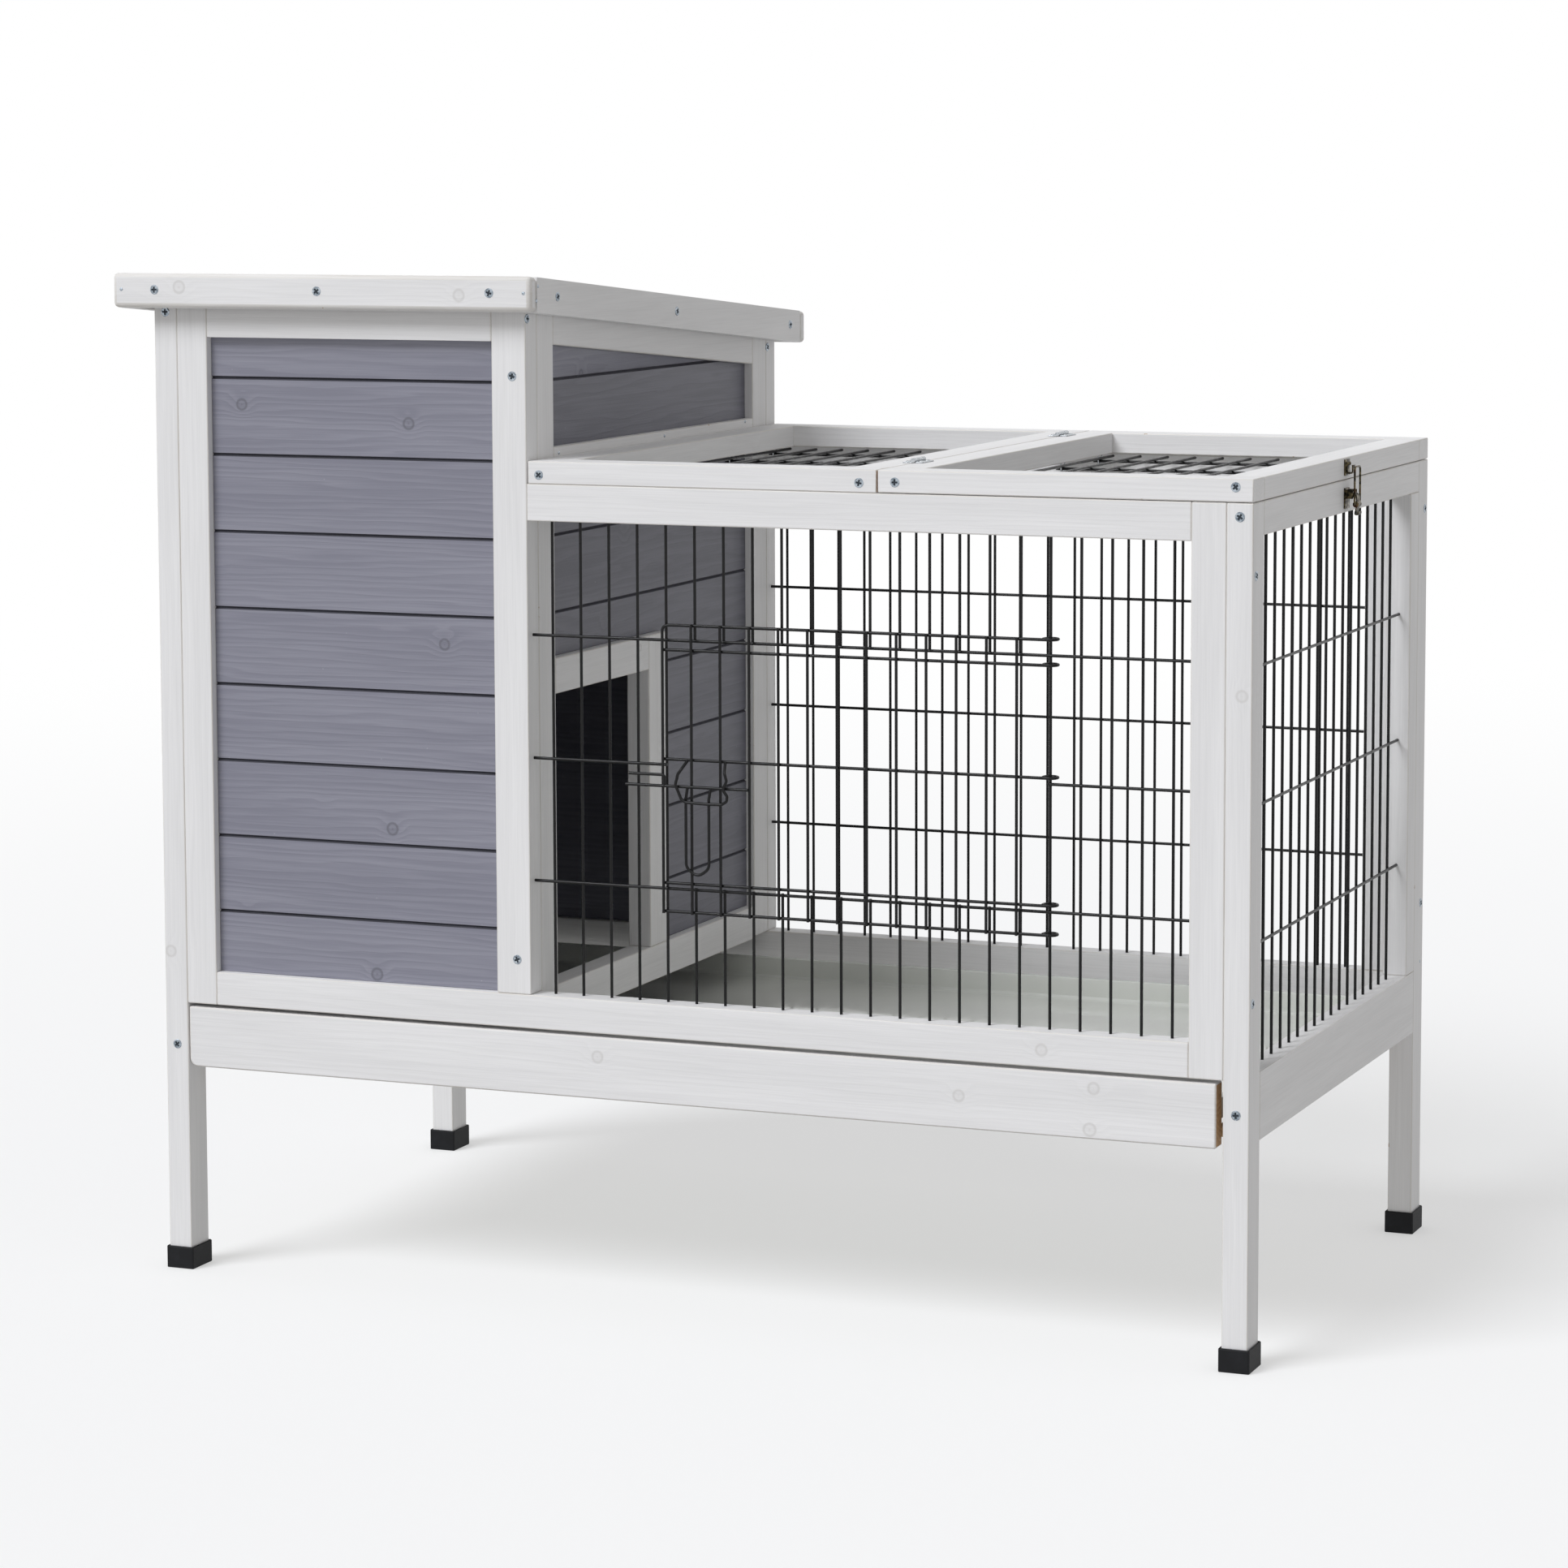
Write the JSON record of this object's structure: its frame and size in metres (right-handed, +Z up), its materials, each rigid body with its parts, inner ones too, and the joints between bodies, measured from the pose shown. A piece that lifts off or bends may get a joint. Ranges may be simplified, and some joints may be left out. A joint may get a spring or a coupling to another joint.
{
  "type": "rabbit hutch",
  "caption": "Raised wooden rabbit hutch with a closed house, a wire-mesh run with a hinged mesh lid and wire door, and a pull-out tray under both.",
  "frame": {"origin": "bottom centre of the whole object's box, on the floor", "axes": "+X to the right along the front, from house to run; +Y to the back; +Z up"},
  "size_m": [0.938, 0.558, 0.799],
  "materials": {
    "white_stained_wood": "thin white stain over planed fir, matte",
    "grey_stained_wood": "blue-grey stain over planed fir, matte",
    "black_wire": "welded steel wire, black powder coat",
    "black_rubber": "moulded black rubber",
    "roof_felt": "mineral roofing felt on a plywood deck",
    "bare_wood": "planed fir, untreated",
    "tray_plastic": "smooth grey-green plastic",
    "aged_brass": "dark aged brass plate",
    "zinc_plate": "zinc plated steel"
  },
  "bodies": {
    "hutch_frame": {"front_left_post": "white_stained_wood", "front_right_post": "white_stained_wood", "back_left_post": "white_stained_wood", "back_right_post": "white_stained_wood", "front_left_foot_cap": "black_rubber", "front_right_foot_cap": "black_rubber", "back_left_foot_cap": "black_rubber", "back_right_foot_cap": "black_rubber", "front_bottom_rail": "white_stained_wood", "front_left_stile": "white_stained_wood", "front_middle_stile": "white_stained_wood", "front_right_stile": "white_stained_wood", "house_front_top_rail": "white_stained_wood", "run_front_top_rail": "white_stained_wood", "house_front_boards": "grey_stained_wood", "left_bottom_board": "white_stained_wood", "left_frame": "white_stained_wood", "house_left_boards": "grey_stained_wood", "back_bottom_board": "white_stained_wood", "back_left_stile": "white_stained_wood", "back_middle_stile": "white_stained_wood", "back_right_stile": "white_stained_wood", "house_back_top_rail": "white_stained_wood", "run_back_top_rail": "white_stained_wood", "house_back_boards": "grey_stained_wood", "divider_front_stile": "white_stained_wood", "divider_back_stile": "white_stained_wood", "divider_top_rail": "white_stained_wood", "divider_bottom_rail": "white_stained_wood", "divider_middle_batten": "white_stained_wood", "divider_boards": "grey_stained_wood", "doorway_frame": "white_stained_wood", "right_top_rail": "white_stained_wood", "right_bottom_board": "white_stained_wood", "right_back_stile": "white_stained_wood", "left_tray_runner": "bare_wood", "right_tray_runner": "bare_wood", "front_wire_panel": "black_wire", "right_wire_panel": "black_wire", "back_wire_panel": "black_wire", "fixed_top_frame": "white_stained_wood", "fixed_top_wire": "black_wire", "latch_base": "aged_brass", "front_hinge_fixed_leaf": "zinc_plate", "back_hinge_fixed_leaf": "zinc_plate", "roof_hinge_wall_leaf": "zinc_plate"},
    "tray": {"tray_front_board": "white_stained_wood", "tray_pan": "tray_plastic"},
    "lid": {"lid_frame": "white_stained_wood", "lid_wire": "black_wire", "lid_catch": "aged_brass", "front_hinge_lid_leaf": "zinc_plate", "back_hinge_lid_leaf": "zinc_plate"},
    "wire_door": {"wire_door": "black_wire"},
    "door_bolt": {"door_bolt": "black_wire"},
    "latch_lever": {"latch_lever": "aged_brass"},
    "latch_loop": {"latch_loop": "aged_brass"},
    "roof": {"roof_deck": "roof_felt", "roof_fascia": "white_stained_wood", "roof_hinge_roof_leaf": "zinc_plate"}
  },
  "joints": [
    {"name": "tray_slide", "type": "slide", "parent": "hutch_frame", "child": "tray", "axis": [0, -1, 0], "range_m": [0, 0.42]},
    {"name": "lid_hinge", "type": "hinge", "parent": "hutch_frame", "child": "lid", "pos_m": [0.1675, 0, 0.6594], "axis": [0, -1, 0], "range_deg": [0, 150]},
    {"name": "roof_hinge", "type": "hinge", "parent": "hutch_frame", "child": "roof", "pos_m": [-0.281, 0.2436, 0.74282], "axis": [-1, 0, 0], "range_deg": [0, 55]},
    {"name": "wire_door_hinge", "type": "hinge", "parent": "hutch_frame", "child": "wire_door", "pos_m": [0.30012, -0.24944, 0.425], "axis": [0, 0, 1], "range_deg": [0, 145]},
    {"name": "door_bolt_slide", "type": "slide", "parent": "wire_door", "child": "door_bolt", "axis": [1, 0, 0], "range_m": [0, 0.033]},
    {"name": "latch_lever_hinge", "type": "hinge", "parent": "hutch_frame", "child": "latch_lever", "pos_m": [0.463, -0.01, 0.629], "axis": [0, -1, 0], "range_deg": [0, 150]},
    {"name": "latch_loop_hinge", "type": "hinge", "parent": "latch_lever", "child": "latch_loop", "pos_m": [0.4663, -0.01, 0.6215], "axis": [0, -1, 0], "range_deg": [-185, 0]}
  ],
  "couplings": [
    {"joint": "latch_loop_hinge", "follows": "latch_lever_hinge", "ratio": -1.2}
  ]
}
